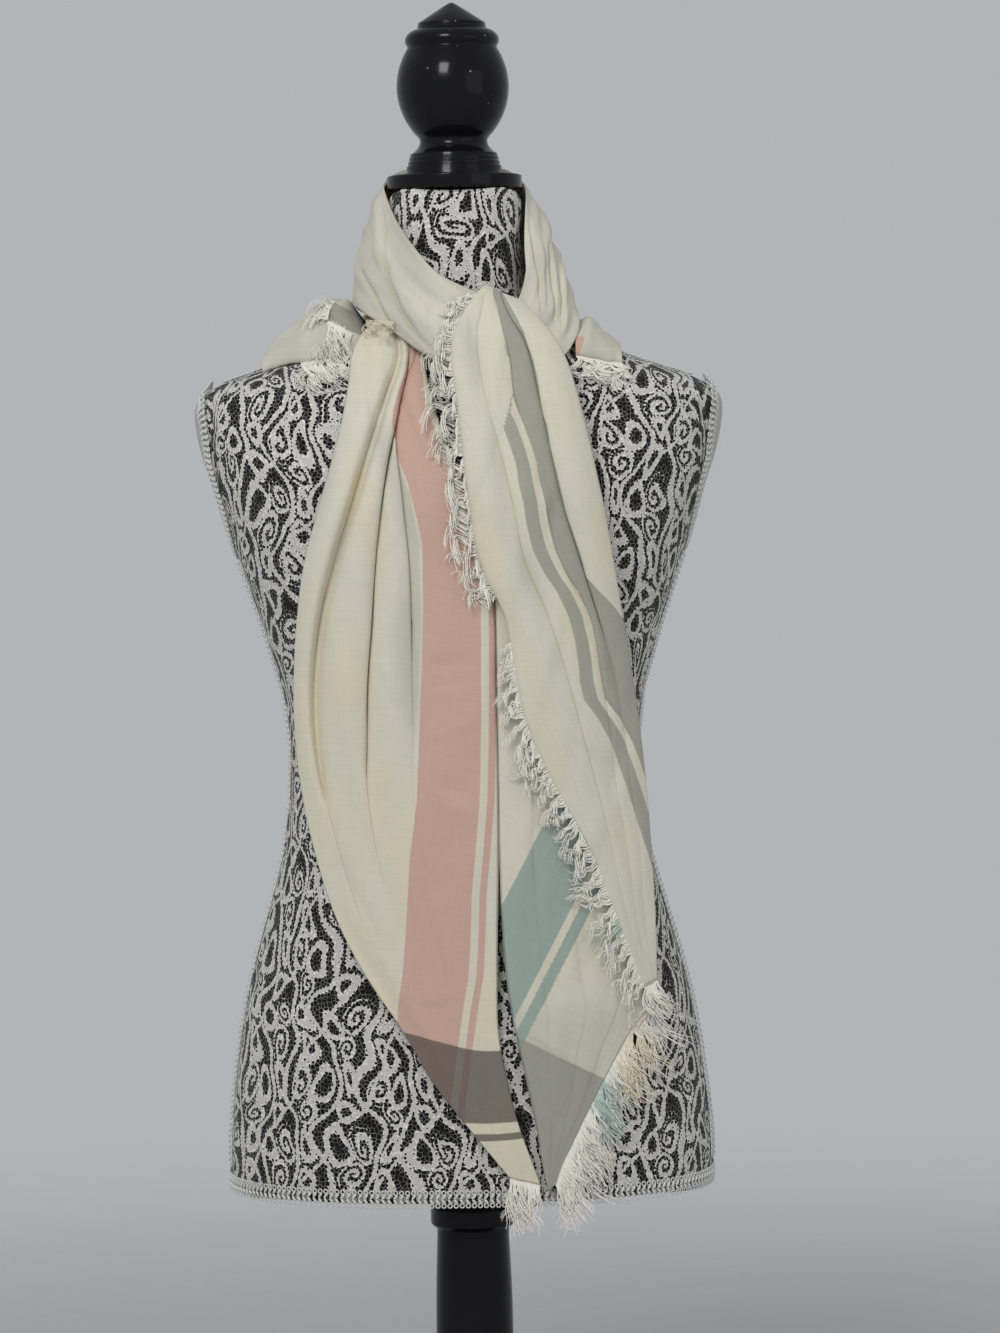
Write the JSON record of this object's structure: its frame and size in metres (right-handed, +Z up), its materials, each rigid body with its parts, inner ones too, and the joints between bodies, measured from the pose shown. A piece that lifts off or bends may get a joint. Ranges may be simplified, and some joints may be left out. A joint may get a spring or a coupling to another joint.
{
  "type": "square scarf on a dress form",
  "caption": "Fringed square scarf folded corner to corner and half knotted round the neck of a limbless dress form on a turned column and round base",
  "frame": {"origin": "bottom centre of the bounding box, on the surface that the round base stands on, under the column", "axes": "+Z up, the knot and the two tails face -Y, +X is to the right as seen from the front"},
  "size_m": [0.388, 0.3, 1.1625],
  "materials": {
    "wood": "gloss lacquer, black",
    "form_cover": "white corded lace over black cloth",
    "scarf_cloth": "soft plain weave with wide border stripes",
    "fringe": "loose wavy threads"
  },
  "bodies": {
    "root": {"form_base": "wood", "form_column": "wood", "form_finial": "wood", "form_torso": "form_cover", "scarf_neck_back": "scarf_cloth", "scarf_neck_left": "scarf_cloth", "scarf_neck_right": "scarf_cloth", "scarf_left_tail": "scarf_cloth", "scarf_right_tail": "scarf_cloth", "scarf_right_under": "scarf_cloth", "scarf_shoulder_left": "scarf_cloth", "scarf_shoulder_right": "scarf_cloth", "scarf_back": "scarf_cloth", "fringe_right_tail": "fringe", "fringe_right_under": "fringe", "fringe_left_tip": "fringe", "fringe_shoulder_left": "fringe", "fringe_shoulder_right": "fringe", "fringe_back_left": "fringe", "fringe_back_right": "fringe"}
  },
  "joints": []
}
